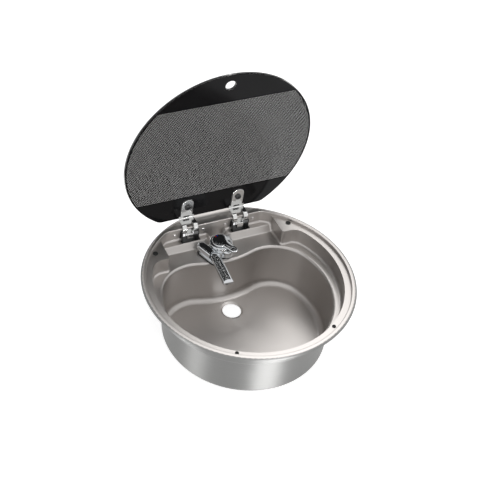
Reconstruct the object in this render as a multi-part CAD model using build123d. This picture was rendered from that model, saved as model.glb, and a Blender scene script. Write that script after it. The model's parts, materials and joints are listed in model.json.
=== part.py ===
"""Round drop-in sink with a hinged glass lid and a low single-lever mixer tap.

Frame: origin at the centre of the rim on its top plane, +X to the right, +Y to the back
(the hinge side), +Z up, millimetres. The lid is modelled standing open.
"""

from build123d import *
import math
import os

# ---------------------------------------------------------------- driving dimensions
# pressed bowl, in plan from the basin outwards
sheet = 1.0  # steel thickness
basin_r = 168.0  # big front arc of the kidney-shaped basin
basin_y = -5.0
deck_w = 19.0  # level strip around the basin
ledge_w = 12.6  # ledge that carries the lid, with its rise
rim_w = 10.4  # rim outside the lid
back_w = 40.3  # from the rim's edge to the straight step behind the lid
pocket_w = 65.7  # from the step to the back wall of the side pockets
bay_side_w = 63.5  # from the mouth's edge to the side of the bay
tap_deck_w = 75.7  # from the step to the basin's dip
mouth_r = basin_r + deck_w
recess_r = mouth_r + ledge_w
rim_r = recess_r + rim_w
recess_back_y = rim_r - back_w
pocket_back_y = recess_back_y - pocket_w
bay_half_w = mouth_r - bay_side_w
basin_dip_y = recess_back_y - tap_deck_w
basin_lobe_x = 0.488 * basin_r
basin_lobe_r = 0.4774 * basin_r
drain_y = 0.3066 * basin_r
reach = 3.0 * rim_r  # longer than anything that it cuts

# fits and tools
rest_gap = 0.02  # between faces that rest on each other
press_fit = 0.01  # radial room of a pressed pin
slide_fit = 0.05  # radial room of a part that slides in
loose_fit = 0.1  # radial room of a part that drops in
ring_fit = 0.04  # radial room of the friction rings and the tub on the pin
through = 20.0  # half length of a tool that cuts right through
hair = 0.01  # tolerance by which edges are picked
hex_sides = 6

# pressed bowl, heights and bends
rim_drop = 4.0  # height of the rolled outer edge
rim_roll_w = 6.0  # width of the rolled outer edge
roll_x = 1.2  # point on the outside of the rolled edge, in from its end and down from its top
roll_z = 1.6
roll_in_x = 1.0  # the same on its inside
roll_in_z = 2.1
recess_depth = 6.5
recess_corner_r = 20.0
pocket_corner_r = 26.0
bay_tip_r = 5.0  # nose between bay and side pocket
bay_corner_r = 14.0
deck_z = -41.0
deck_foot_r = 5.0  # bend where the upper wall meets the deck
shelf_z = -28.0  # hinge shelf at the foot of the back wall
shelf_w = 15.2
shelf_slope = 33.0  # degrees from upright
shelf_edge_r = 3.6
shelf_fold_r = 5.0
notch_half_w = 23.0  # gap in the shelf behind the tap
notch_x = 4.0
notch_corner_r = 9.5
basin_lip_r = 6.0
rim_lip_r = 1.5  # bend from the rim down into the lid's recess
lip_near = 0.6  # band around the basin in which an edge counts as its lip
lip_back = 8.0
basin_draft = 1.5  # degrees
basin_floor_r = 14.0
basin_depth = 143.0
drain_r = 19.4
dish_w = 5.0  # sloping seat around the drain hole
dish_depth = 2.0
seal_gap = 1.4
seal_over = 0.6
seal_in = 1.8  # corners of the seal, in from the rolled edge and up from its foot
seal_up = 1.4
seal_foot = 0.9
shelf_front_y = recess_back_y - shelf_w

# lid
lid_gap = 4.2
glass_t = 5.0
glass_corner_r = 21.0
glass_edge_r = 0.8
lid_lean = 4.5  # degrees that the open lid leans to the front
lid_stand_z = 6.0  # straight edge of the open lid above the rim
finger_hole_in = 24.8  # from the round edge to the middle of the finger hole
finger_hole_r = 10.5
glass_r = recess_r - lid_gap
chord_to_centre = recess_back_y - 10.1  # from the straight edge to the centre of the round edge
lid_stand_y = recess_back_y + 23.5  # inner face of the open lid at its straight edge
finger_hole_u = chord_to_centre + glass_r - finger_hole_in

# lid hinges
hinge_x = 55.5
axis_y = recess_back_y + 12.65
axis_z = -17.68
pin_r = 3.0
pin_clear = 0.05
pin_over = 4.4
leaf_t = 2.5
tongue_w = 25.0
tongue_h = 51.7
tongue_foot = 8.0  # height on the glass where the tongue starts
screw_u = 32.5
leaf_edge_r = 0.8
pad_t = 0.8
pad_over = 0.8
pad_foot = 11.0
flange_w = 33.0
flange_z = 4.9  # underside of the bent flange
collar_h = 9.0  # height of the flared collar
collar_bend_r = 4.0
arm_root_y = recess_back_y + 3.8  # where the flange divides into two arms
arm_x = 12.0  # each gooseneck arm's offset from the hinge centre
arm_w = 8.6
arm_front_y = recess_back_y - 5.4
arm_bend_r = 10.0
arm_low_z = -14.0
slot_u = 6.6
slot_w = 14.0
slot_h = 3.6
eye_r = 5.2
knuckle_half_w = 6.5
knuckle_front_y = recess_back_y - 7.3
knuckle_low_z = -27.0
plate_half_w = 36.0
plate_top_z = -5.0
plate_bottom_z = -25.0
plate_t = 2.2
plate_bridge = 2.4
plate_corner_r = 3.0
knuckle_less = 0.4  # knuckle's round inside the eyes' round
knuckle_edge_r = 2.0
clip_in = 1.4  # from the pin's end to the middle of the clip
clip_half = 0.4
clip_over = 1.0
clip_mouth = 1.6
groove_half = 0.45
groove_depth = 0.5
pin_bevel = 0.5
ring_gap = 0.03  # room at each end of a friction ring
ring_less = 0.8
rivet_x = 31.0
rivet_z = -14.2
rivet_r = 2.0
rivet_head_r = 3.6
rivet_head_h = 1.5
rivet_dome_r = 1.0
rivet_tail_h = 0.9
rivet_tail_over = 1.0
rivet_join = 0.3  # depth by which the shaft runs into its heads
run_gap = 0.6  # between the arms and what they pass
lip_w = 1.8  # lip of the tub outside its opening
lip_t = 1.1
tub_wall = 1.6
tub_half_w = arm_x + arm_w / 2 + run_gap + tub_wall
tub_front_y = recess_back_y - 8.5
tub_back_y = recess_back_y + 14.3
tub_low_z = -38.5
cover_top_z = -8.0
window_gap = 0.2
window_top_z = -4.0
slot_front_y = recess_back_y - 13.5
tub_wall_y = slot_front_y + 0.2
tub_step = 3.0  # from the shelf down to the top of the tub's front wall
tub_lip_gap = 0.2
glass_hole_r = 5.0
sleeve_r = 4.9
sleeve_clear = 0.2
screw_r = 2.5
screw_clear_r = 2.7
screw_head_r = 6.5
screw_head_h = 3.4
screw_dome_r = 1.87
screw_end = 2.6  # from the glass to the end of the screw
socket_r = 2.3
socket_depth = 1.6
cap_r = 6.0
cap_h = 3.4
cap_dome_r = 2.04
cap_wall = 1.0
cap_washer_t = 0.8
cap_washer_over = 1.0

# rubber buffers under the glass
buffer_ring_r = recess_r - 7.3
rear_buffer_angle = 40.6  # degrees from the X axis
rear_buffer_r = 5.2
front_buffer_angle = -58.6
front_buffer_r = 3.8
buffer_gap = 0.3
buffer_plug_r = 2.0
buffer_plug_end = 0.6  # below the sheet
buffer_edge_r = 0.4

# mixer tap, heights measured from the deck
tap_turn = 20.0  # degrees that the body is turned to the right
head_x = -3.0
head_y = recess_back_y - 42.7
head_r = 23.5
head_seat = 20.0
base_head_r = 25.0
base_margin = 1.4  # base outside the bar
base_layer = 1.7
base_layers = 4
base_groove = 1.1
gasket_t = 1.4
gasket_over = 0.9
gasket_gap = 0.03
head_step = 1.5
bar_x = -31.5
bar_w = 20.0
bar_back = 32.0
base_back = 26.0
bar_front = -27.5
bar_top = 18.8
bar_edge_r = 4.5
seat_top = 9.6  # where the spout's root sits
link_y = -4.0
link_h = 30.0
link_drop = 4.0
nose_r = 12.5
nose_x = 1.0
nose_y = -17.0
nose_top = 17.0
pivot_y = -17.5
pivot_r = 6.5
pivot_depth = 4.6
pivot_fit = 0.06
ring_half = 0.9
ring_groove = 1.4
passage_z = 4.2
passage_r = 2.2
shank_r = 14.0
shank_hole_r = 14.6
shank_len = 46.0
inlet_x = 5.0
inlet_y = 6.5
inlet_r = 3.4
port_r = 2.8  # ports of the cartridge over the inlets
outlet_x = 10.5
port_depth = 6.0
cartridge_r = 16.0
cartridge_floor = 10.8
ring_h = 4.6
ring_wall = 3.6
cap_gap = 0.9
cap_low = 22.4
cap_top = 29.3
cap_hollow_r = 14.6
cap_hollow_top = 27.0
lever_crown_r = 90.0  # round of the lever's top across its width
lever_rise = 2.5  # degrees that its top rises to the tip
stem_nut_r = 13.0
lever_low = 25.2
lever_len = 37.5  # from the head's middle to the middle of the round tip
lever_root_w = 20.0
lever_tip_w = 15.0
lever_edge_r = 2.2
grip_depth = 0.6
grip_w = 8.0
grip_h = 12.0
lift_z = 24.4
spindle_r = 3.0
spindle_hole = 7.0
stem_nut_sides = 8
stem_nut_t = 1.4
stem_nut_hole = 2.0  # wider than the spindle
stem_half_x = 3.4  # squared head of the spindle
stem_half_y = 2.4
stem_half_z = 2.2
lift_hole_r = 1.0
lift_pin_clear = 0.03
lift_pin_half = 5.2
cheek_gap = 0.2
cheek_t = 2.8
cheek_half_y = 3.4
cheek_lift = 0.8
dot_r = 1.7
dot_x = 2.2
dot_y = 14.5
dot_low = 27.6
dot_h = 1.1
dot_clear = 0.03
spout_gap = 0.3
spout_len = 76.0
spout_w = 20.0
spout_t = 9.0
spout_crown = 3.0
spout_swing = 45.0  # degrees to each side
spout_turn = -3.5
spout_boss = 2.0
spout_bevel = 5.0
shoulder_r = 2.6
boss_wall = 1.4
stud_bore_r = 3.6
spout_way_r = 2.6
mouth_floor = 2.0  # from the waterway's middle down to the mouth's roof
aerator_r = 7.6
aerator_out = 6.0
aerator_back = 13.0
aerator_wall = 2.0
aerator_edge = 0.8
screen_holes = 6
screen_hole_r = 0.9
screen_ring_r = 3.6
screen_in = 1.5
screen_t = 2.0
washer_t = 3.0
washer_over = 9.0
nut_t = 7.0
nut_over = 8.0


# ---------------------------------------------------------------- helpers
def block(x0, x1, y0, y1, z0, z1):
    return Pos((x0 + x1) / 2, (y0 + y1) / 2, (z0 + z1) / 2) * Box(x1 - x0, y1 - y0, z1 - z0)


def post(r, z0, z1, x=0.0, y=0.0):
    return Pos(x, y, (z0 + z1) / 2) * Cylinder(r, z1 - z0)


def rod_x(r, x0, x1, y, z):
    return Pos((x0 + x1) / 2, y, z) * Rot(0, 90, 0) * Cylinder(r, x1 - x0)


def rod_y(r, length, x, y, z):
    return Pos(x, y, z) * Rot(90, 0, 0) * Cylinder(r, length)


def slab(sketch, z0, z1):
    return Pos(0, 0, z0) * extrude(sketch, z1 - z0)


def on_line(value, line):
    return abs(value - line) < hair


def below(y):
    return Pos(0, y - reach) * Rectangle(2 * reach, 2 * reach)


# ---------------------------------------------------------------- bowl
def recess_outline(t):
    """The D-shaped lid recess, grown by t."""
    sk = Circle(recess_r + t) & below(recess_back_y + t)
    return fillet(sk.vertices().group_by(Axis.Y)[-1], recess_corner_r + t)


def mouth_outline(t):
    """Circular mouth cut straight at the side pockets, with the bay behind it."""
    round_part = Circle(mouth_r + t) & below(pocket_back_y + t)
    round_part = fillet(round_part.vertices().group_by(Axis.Y)[-1], pocket_corner_r + t)
    half = bay_half_w + t
    bay = Pos(0, recess_back_y + t - pocket_w) * Rectangle(2 * half, 2 * pocket_w)
    bay = bay & recess_outline(t)
    sk = round_part + bay
    tips = [v for v in sk.vertices() if on_line(v.Y, pocket_back_y + t) and on_line(abs(v.X), half)]
    sk = fillet(tips, bay_tip_r - t)
    corners = [v for v in sk.vertices() if on_line(abs(v.X), half) and v.Y > shelf_front_y]
    return fillet(corners, bay_corner_r + t)


def shelf(side, t):
    """Half of the hinge shelf: a raised pad with sloping sides, shrunk by t."""
    top = shelf_z - t
    inner = notch_x + side * (notch_half_w + t)
    outer = side * (bay_half_w + rim_r / 2)
    back = recess_back_y + rim_w
    front = shelf_front_y + t
    plan = Pos((inner + outer) / 2, (back + front) / 2) * Rectangle(abs(outer - inner), back - front)
    plan = fillet(plan.vertices().sort_by_distance((inner, front, 0))[0], notch_corner_r)
    pad = extrude(Pos(0, 0, top) * plan, deck_z - t - top, dir=(0, 0, 1), taper=-shelf_slope)
    return fillet(pad.edges().group_by(Axis.Z)[-1], shelf_edge_r - t)


def basin_outline(t):
    """Kidney outline of tangent arcs: big front arc, two back lobes and a shallow dip."""
    lobe_y = basin_y + math.sqrt((basin_r - basin_lobe_r) ** 2 - basin_lobe_x**2)
    rise = lobe_y - basin_dip_y
    dip_r = (basin_lobe_x**2 + rise**2 - basin_lobe_r**2) / (2 * (basin_lobe_r + rise))
    dip_y = basin_dip_y + dip_r
    apart = math.hypot(basin_lobe_x, dip_y - lobe_y)
    join = (
        basin_lobe_x * (1 - basin_lobe_r / apart),
        lobe_y + (dip_y - lobe_y) * basin_lobe_r / apart,
    )
    span = basin_r - basin_lobe_r
    side = (basin_lobe_x / span * basin_r, basin_y + (lobe_y - basin_y) / span * basin_r)
    half = math.atan2(basin_lobe_x, lobe_y - basin_y) / 2
    half += math.atan2(join[0] - basin_lobe_x, join[1] - lobe_y) / 2
    crown = (basin_lobe_x + basin_lobe_r * math.sin(half), lobe_y + basin_lobe_r * math.cos(half))
    dip = ThreePointArc((-join[0], join[1]), (0, basin_dip_y), join)
    lobe_right = ThreePointArc(join, crown, side)
    front = ThreePointArc(side, (0, basin_y - basin_r), (-side[0], side[1]))
    lobe_left = ThreePointArc((-side[0], side[1]), (-crown[0], crown[1]), (-join[0], join[1]))
    face = make_face([dip, lobe_right, front, lobe_left])
    return offset(face, t) if t else face


def bowl_space(t):
    """The space inside the bowl, grown by t: t = 0 is the visible face of the sheet."""
    recess = slab(recess_outline(t), -recess_depth - t, -deck_z)
    mouth = slab(mouth_outline(t), deck_z - t, -recess_depth)
    for side in (-1, 1):
        mouth -= shelf(side, t)
    mouth = fillet([e for e in mouth.edges() if is_fold(e, t)], shelf_fold_r + t)
    mouth = fillet(mouth.edges().group_by(Axis.Z)[0], deck_foot_r + t)
    basin = extrude(basin_outline(t), -(basin_depth + t), taper=basin_draft)
    basin = fillet(basin.edges().group_by(Axis.Z)[0], basin_floor_r + t)
    basin = basin & block(-reach, reach, -reach, reach, -reach, deck_z)
    space = mouth + basin
    lip = [e for e in space.edges() if is_lip(e, t)]
    space = fillet(lip, basin_lip_r - t)
    space += recess
    low_r = drain_r + t * math.tan(math.atan2(dish_depth, dish_w) / 2)
    dish = Cone(low_r, low_r + dish_w, dish_depth)
    return space + Pos(0, drain_y, -basin_depth - t - dish_depth / 2) * dish


def is_fold(edge, t):
    """True for an edge where the shelf meets the walls of the bay, on its top or down its ends."""
    bb = edge.bounding_box()
    if bb.max.Z > shelf_z - t + hair or bb.max.Z < deck_z - t + 0.5:
        return False
    mid = edge @ 0.5
    at_back = on_line(mid.Y, recess_back_y + t)
    at_side = on_line(abs(mid.X), bay_half_w + t)
    turned = abs(mid.X) > bay_half_w + t - bay_corner_r and mid.Y > recess_back_y + t - bay_corner_r
    level = on_line(bb.max.Z, bb.min.Z)
    return at_back or at_side or (turned and level)


def is_lip(edge, t):
    """True for an edge of the basin's outline at deck level."""
    bb = edge.bounding_box()
    flat = on_line(bb.max.Z, bb.min.Z) and abs(bb.max.Z - deck_z + t) < t + hair
    mid = edge @ 0.5
    inside = math.hypot(mid.X, mid.Y - basin_y) < basin_r + t + lip_near
    return flat and inside and mid.Y < pocket_back_y + lip_back


def is_rim_lip(edge):
    """True for an edge where the rim turns down into the recess, on top of the sheet."""
    bb = edge.bounding_box()
    mid = edge @ 0.5
    return bb.min.Z > -hair and math.hypot(mid.X, mid.Y) < recess_r + 1.0


def rim():
    top = rim_r - rim_roll_w
    ends = [(1, 0), (0, -1)]
    outer = Spline((top, 0), (rim_r - roll_x, -roll_z), (rim_r, -rim_drop), tangents=ends)
    back = (rim_r - sheet - roll_in_x, -roll_in_z)
    inner = Spline((top, -sheet), back, (rim_r - sheet, -rim_drop), tangents=ends)
    lines = [
        Line((0, 0), (top, 0)),
        outer,
        Line((rim_r, -rim_drop), (rim_r - sheet, -rim_drop)),
        inner,
        Line((top, -sheet), (0, -sheet)),
        Line((0, -sheet), (0, 0)),
    ]
    return revolve(Plane.XZ * make_face(lines), Axis.Z)


def buffer_places():
    """Middle of each buffer: the two at the back, then the two at the front."""
    places = []
    for angle in (rear_buffer_angle, front_buffer_angle):
        x = buffer_ring_r * math.cos(math.radians(angle))
        y = buffer_ring_r * math.sin(math.radians(angle))
        places.append([(-x, y), (x, y)])
    return places


def sink_bowl():
    bowl = rim() + bowl_space(sheet) - bowl_space(0.0)
    bowl = bowl & block(-reach, reach, -reach, reach, -reach, 0)
    bowl = fillet([e for e in bowl.edges() if is_rim_lip(e)], rim_lip_r)
    bottom = -basin_depth - dish_depth - sheet
    bowl -= post(drain_r, bottom - 1, -basin_depth, 0, drain_y)
    bowl -= post(shank_hole_r, deck_z - sheet - 1, deck_z + 1, head_x, head_y)
    for pair in buffer_places():
        for x, y in pair:
            bowl -= post(buffer_plug_r + slide_fit, -recess_depth - sheet - 1, -recess_depth + 1, x, y)
    window = tub_half_w + window_gap
    for side in (-1, 1):
        x = side * hinge_x
        back = recess_back_y + sheet + 1
        bowl -= block(x - window, x + window, recess_back_y - shelf_fold_r, back, shelf_z, window_top_z)
        bowl -= block(x - window, x + window, slot_front_y, back, shelf_z - sheet - 1, shelf_z + shelf_fold_r)
        for end in (-1, 1):
            hole = Pos(x + end * rivet_x, recess_back_y, rivet_z) * Rot(90, 0, 0)
            bowl -= hole * Cylinder(rivet_r + loose_fit, 4 * sheet)
    return bowl


# ---------------------------------------------------------------- seal and buffers
def rim_seal():
    """Foam ring between the rim and the worktop."""
    inner = recess_r + sheet + seal_gap
    bend = rim_r - rim_roll_w
    low = -rim_drop - seal_over
    top = -sheet - slide_fit
    pts = [(inner, low), (inner, top), (bend, top - slide_fit)]
    pts += [(rim_r - sheet - seal_in, -rim_drop + seal_up), (rim_r - sheet - seal_foot, low)]
    return revolve(Plane.XZ * make_face(Polyline(*pts, close=True)), Axis.Z)


def buffer(x, y, r):
    floor = -recess_depth + rest_gap
    top = -glass_t - buffer_gap
    pad = post(r, floor, top, x, y)
    pad = fillet(pad.edges().group_by(Axis.Z)[-1], buffer_edge_r)
    return pad + post(buffer_plug_r, floor - sheet - buffer_plug_end, (floor + top) / 2, x, y)


def rear_buffers():
    return [buffer(x, y, rear_buffer_r) for x, y in buffer_places()[0]]


def front_buffers():
    return [buffer(x, y, front_buffer_r) for x, y in buffer_places()[1]]


# ---------------------------------------------------------------- lid
def lid_plane():
    """Inner face of the open glass: local x along the hinge line, y up the glass."""
    lean = math.radians(lid_lean)
    return Plane(
        origin=(0, lid_stand_y, lid_stand_z),
        x_dir=(1, 0, 0),
        z_dir=(0, -math.cos(lean), -math.sin(lean)),
    )


def on_lid(shape):
    return lid_plane() * shape


def lid_glass():
    disc = Pos(0, chord_to_centre) * Circle(glass_r)
    half = disc & (Pos(0, reach) * Rectangle(2 * reach, 2 * reach))
    half = fillet(half.vertices().group_by(Axis.Y)[0], glass_corner_r)
    glass = slab(half, -glass_t, 0)
    rims = glass.edges().group_by(Axis.Z)
    glass = chamfer(rims[0] + rims[-1], glass_edge_r)
    glass -= post(finger_hole_r, -through, through, 0, finger_hole_u)
    for side in (-1, 1):
        glass -= post(glass_hole_r, -through, through, side * hinge_x, screw_u)
    return on_lid(glass)


def tongue_outline(grow=0.0):
    half = tongue_w / 2 + grow
    straight = tongue_h - tongue_w / 2
    sk = Pos(0, straight / 2 + tongue_foot / 2) * Rectangle(2 * half, straight - tongue_foot)
    return sk + Pos(0, straight) * Circle(half)


def hinge_pad(side):
    pad = slab(tongue_outline(pad_over), rest_gap, pad_t - rest_gap)
    pad = pad & block(-reach, reach, pad_foot, reach, -through, through)
    pad -= post(sleeve_r + sleeve_clear, -through, through, 0, screw_u)
    return on_lid(Pos(side * hinge_x, 0, 0) * pad)


def strip(path_pts, bend, width):
    """A bent strip of leaf thickness following points in the YZ plane, centred on x = 0."""
    line = FilletPolyline(*path_pts, radius=bend)
    return extrude(Plane.YZ * trace(line, leaf_t), width / 2, both=True)


def hinge_leaf(side):
    """Tongue on the glass, flared collar and two gooseneck arms that ride on the pin."""
    lean = math.radians(lid_lean)
    tongue = slab(tongue_outline(), pad_t, pad_t + leaf_t)
    tongue = fillet(tongue.edges().group_by(Axis.Z)[-1].group_by(Axis.Y)[-1], leaf_edge_r)
    tongue = on_lid(tongue)
    top = flange_z + leaf_t / 2
    mid = pad_t + leaf_t / 2
    foot_y = lid_stand_y - mid * math.cos(lean)
    up = collar_h
    knee = (foot_y - (top - lid_stand_z) * math.tan(lean), top)
    head = (foot_y - up * math.sin(lean), lid_stand_z + up * math.cos(lean))
    bend = strip([head, knee, (arm_root_y, top)], collar_bend_r, flange_w)
    low = arm_low_z
    arm_pts = [(knee[0] - collar_bend_r - 1, top), (arm_front_y, top), (arm_front_y, low), (axis_y, low)]
    arm = strip(arm_pts, arm_bend_r, arm_w)
    eye = rod_x(eye_r, -arm_w / 2, arm_w / 2, axis_y, axis_z)
    web = block(-arm_w / 2, arm_w / 2, axis_y - eye_r, axis_y, low - leaf_t / 2, low + leaf_t / 2)
    arm = arm + eye + web
    leaf = tongue + bend
    for end in (-1, 1):
        leaf += Pos(end * arm_x, 0, 0) * arm
    leaf -= rod_x(pin_r + pin_clear, -reach, reach, axis_y, axis_z)
    leaf -= on_lid(post(screw_clear_r, -through, through, 0, screw_u))
    leaf -= on_lid(Pos(0, slot_u, 0) * extrude(SlotOverall(slot_w, slot_h), through, both=True))
    return Pos(side * hinge_x, 0, 0) * leaf


def lid_screw(side):
    seat = pad_t + leaf_t
    head = post(screw_head_r, seat + rest_gap, seat + screw_head_h, 0, screw_u)
    head = fillet(head.edges().group_by(Axis.Z)[-1], screw_dome_r)
    socket = extrude(RegularPolygon(socket_r, hex_sides), -socket_depth)
    head -= Pos(0, screw_u, seat + screw_head_h) * socket
    shaft = post(screw_r, -glass_t - screw_end, seat + 0.5, 0, screw_u)
    return on_lid(Pos(side * hinge_x, 0, 0) * (head + shaft))


def screw_sleeve(side):
    tube = post(sleeve_r, -glass_t + loose_fit, pad_t - slide_fit, 0, screw_u)
    tube -= post(screw_r + slide_fit, -through, through, 0, screw_u)
    return on_lid(Pos(side * hinge_x, 0, 0) * tube)


def cap_washer(side):
    ring = post(cap_r + cap_washer_over, -glass_t - cap_washer_t, -glass_t - rest_gap, 0, screw_u)
    ring -= post(screw_r + loose_fit, -through, through, 0, screw_u)
    return on_lid(Pos(side * hinge_x, 0, 0) * ring)


def cap_nut(side):
    top = -glass_t - cap_washer_t - 2 * rest_gap
    nut = post(cap_r, top - cap_h, top, 0, screw_u)
    nut = fillet(nut.edges().group_by(Axis.Z)[0], cap_dome_r)
    nut -= post(screw_r + slide_fit, top - cap_h + cap_wall, top + 1, 0, screw_u)
    return on_lid(Pos(side * hinge_x, 0, 0) * nut)


# ---------------------------------------------------------------- hinge parts fixed to the bowl
def hinge_bracket(side):
    """Plate behind the back wall with the knuckle that carries the hinge pin."""
    y0 = recess_back_y + sheet + rest_gap
    plate = block(-plate_half_w, plate_half_w, y0, y0 + plate_t, plate_bottom_z, plate_top_z)
    plate = fillet(plate.edges().filter_by(Axis.Y), plate_corner_r)
    for end in (-1, 1):
        x0, x1 = sorted((end * (knuckle_half_w + run_gap), end * (tub_half_w + window_gap)))
        plate -= block(x0, x1, y0 - 1, y0 + plate_t + 1, plate_bottom_z - 1, plate_top_z - plate_bridge)
        hole = Cylinder(rivet_r + slide_fit, 4 * plate_t)
        plate -= Pos(end * rivet_x, y0, rivet_z) * Rot(90, 0, 0) * hole
    half = knuckle_half_w
    round_r = eye_r - knuckle_less
    knuckle = block(-half, half, knuckle_front_y, axis_y, knuckle_low_z, axis_z + round_r)
    knuckle = fillet(knuckle.edges().filter_by(Axis.X).group_by(Axis.Y)[0], knuckle_edge_r)
    knuckle += rod_x(round_r, -half, half, axis_y, axis_z)
    knuckle -= rod_x(pin_r + press_fit, -reach, reach, axis_y, axis_z)
    return Pos(side * hinge_x, 0, 0) * (plate + knuckle)


def hinge_pin(side):
    half = arm_x + arm_w / 2 + pin_over
    pin = rod_x(pin_r, -half, half, axis_y, axis_z)
    pin = chamfer(pin.edges().filter_by(GeomType.CIRCLE), pin_bevel)
    for end in (-1, 1):
        x = end * (half - clip_in)
        groove = rod_x(pin_r + 1, x - groove_half, x + groove_half, axis_y, axis_z)
        pin -= groove - rod_x(pin_r - groove_depth, x - 1, x + 1, axis_y, axis_z)
    return Pos(side * hinge_x, 0, 0) * pin


def pin_clips(side):
    half = arm_x + arm_w / 2 + pin_over
    out = []
    for end in (-1, 1):
        x = end * (half - clip_in)
        clip = rod_x(pin_r + clip_over, x - clip_half, x + clip_half, axis_y, axis_z)
        clip -= rod_x(pin_r - groove_depth + slide_fit, x - 1, x + 1, axis_y, axis_z)
        clip -= block(x - 1, x + 1, axis_y - clip_mouth, axis_y + clip_mouth, axis_z - reach, axis_z)
        out.append(Pos(side * hinge_x, 0, 0) * clip)
    return out


def friction_rings(side):
    """Two rings between knuckle and arms whose drag holds the lid where it is left."""
    out = []
    for end in (-1, 1):
        near = end * (knuckle_half_w + ring_gap)
        far = end * (arm_x - arm_w / 2 - ring_gap)
        ring = rod_x(eye_r - ring_less, min(near, far), max(near, far), axis_y, axis_z)
        ring -= rod_x(pin_r + ring_fit, -reach, reach, axis_y, axis_z)
        out.append(Pos(side * hinge_x, 0, 0) * ring)
    return out


def hinge_rivets(side):
    out = []
    wall = recess_back_y
    back = wall + sheet + plate_t + slide_fit
    head_y = wall - slide_fit - rivet_head_h / 2
    tail_y = back + slide_fit + rivet_tail_h / 2
    length = back - wall + 2 * rivet_join
    for end in (-1, 1):
        x = side * hinge_x + end * rivet_x
        shaft = rod_y(rivet_r, length, x, (wall + back) / 2, rivet_z)
        front = rod_y(rivet_head_r, rivet_head_h, x, head_y, rivet_z)
        front = fillet(front.edges().filter_by(GeomType.CIRCLE).group_by(Axis.Y)[0], rivet_dome_r)
        rear = rod_y(rivet_r + rivet_tail_over, rivet_tail_h, x, tail_y, rivet_z)
        out.append(shaft + front + rear)
    return out


def hinge_tub(side):
    """Moulded tub in the hinge opening: two cheeks with a lip, joined below the arms' path."""
    inside = arm_x + arm_w / 2 + run_gap
    side_view = Polyline(
        (tub_front_y, cover_top_z),
        (tub_back_y, cover_top_z),
        (tub_back_y, tub_low_z),
        (tub_wall_y, tub_low_z),
        (tub_wall_y, shelf_z + slide_fit),
        (tub_front_y, shelf_z + slide_fit),
        close=True,
    )
    tub = extrude(Plane.YZ * make_face(side_view), tub_half_w, both=True)
    floor = tub_low_z + tub_wall
    tub -= block(-inside, inside, tub_wall_y + tub_wall, tub_back_y + 1, floor, cover_top_z + 1)
    tub -= block(-inside, inside, tub_wall_y - 1, tub_back_y, shelf_z - tub_step, cover_top_z + 1)
    outside = tub_half_w + lip_w
    for end in (-1, 1):
        x0, x1 = sorted((end * inside, end * outside))
        y1 = recess_back_y - slide_fit
        z0 = shelf_z + slide_fit
        fold = shelf_fold_r + tub_lip_gap
        tub += block(x0, x1, slot_front_y, y1 - fold, z0, z0 + lip_t)
        tub += block(x0, x1, y1 - lip_t, y1, z0 + fold, cover_top_z)
    tub -= rod_x(pin_r + ring_fit, -reach, reach, axis_y, axis_z)
    return Pos(side * hinge_x, 0, 0) * tub


# ---------------------------------------------------------------- tap
def on_tap(shape):
    return Pos(head_x, head_y, deck_z) * Rot(0, 0, tap_turn) * shape


def base_outline(grow=0.0):
    """Plan of the tap's base: a round head end joined to the bar on the left."""
    over = base_margin + grow
    mid = (base_back + bar_front) / 2
    bar = Pos(bar_x, mid) * SlotOverall(base_back - bar_front + 2 * over, bar_w + 2 * over, 90)
    link = Pos(bar_x / 2, link_y) * Rectangle(-bar_x, link_h + 2 * grow)
    return Circle(base_head_r + grow) + bar + link


def bar_outline(grow=0.0):
    length = bar_back - bar_front + 2 * grow
    return Pos(bar_x, (bar_back + bar_front) / 2) * SlotOverall(length, bar_w + 2 * grow, 90)


def tap_gasket():
    pad = slab(base_outline(gasket_over), gasket_gap, gasket_t)
    return on_tap(pad - post(shank_hole_r, -through, through))


def tap_body():
    """Cast body: layered base, round head, bar with the spout's seat and a threaded shank."""
    z0 = gasket_t + rest_gap
    base_top = z0 + base_layers * base_layer
    body = slab(base_outline(-base_groove), z0, base_top)
    for layer in range(0, base_layers, 2):
        low = z0 + layer * base_layer
        body += slab(base_outline(), low, low + base_layer)
    body += post(head_r - head_step, z0, head_seat)
    bar = fillet(slab(bar_outline(), base_top, bar_top).edges().group_by(Axis.Z)[-1], bar_edge_r)
    front = Pos(bar_x, pivot_y - bar_w) * Rectangle(2 * bar_w, 2 * bar_w)
    bar -= slab(front, seat_top, bar_top + 1)
    nose = post(nose_r, z0, nose_top, nose_x, nose_y)
    nose = fillet(nose.edges().group_by(Axis.Z)[-1], nose_r / 2)
    link = slab(Pos(bar_x / 2, link_y) * Rectangle(-bar_x, link_h), z0, bar_top - link_drop)
    body = body + bar + nose + link + post(shank_r, -shank_len, z0 + 1)
    room = spout_w / 2 + spout_gap
    body -= post(room, seat_top, bar_top + 1, bar_x, pivot_y)
    way = block(-room, room, -spout_len, 0, seat_top, bar_top + 1)
    for step in (-1, -0.5, 0, 0.5, 1):
        turn = spout_turn - tap_turn + step * spout_swing
        body -= Pos(bar_x, pivot_y) * Rot(0, 0, turn) * way
    body -= post(cartridge_r + loose_fit, cartridge_floor, head_seat + 1)
    body -= post(pivot_r + pivot_fit, seat_top - pivot_depth, seat_top + 1, bar_x, pivot_y)
    body -= rod_x(passage_r, bar_x, -outlet_x, 0, passage_z)
    body -= rod_y(passage_r, -pivot_y, bar_x, pivot_y / 2, passage_z)
    body -= post(passage_r, passage_z, seat_top - pivot_depth + 1, bar_x, pivot_y)
    body -= post(passage_r, passage_z, cartridge_floor + 1, -outlet_x, 0)
    for side in (-1, 1):
        body -= post(inlet_r, -shank_len - 1, cartridge_floor + 1, inlet_x, side * inlet_y)
    return on_tap(body)


def head_ring():
    ring = post(head_r, head_seat + rest_gap, head_seat + ring_h)
    ring = fillet(ring.edges().group_by(Axis.Z)[-1], ring_wall / 2)
    ring -= post(head_r - ring_wall, head_seat - 1, head_seat + ring_h + 1)
    return on_tap(ring)


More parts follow.
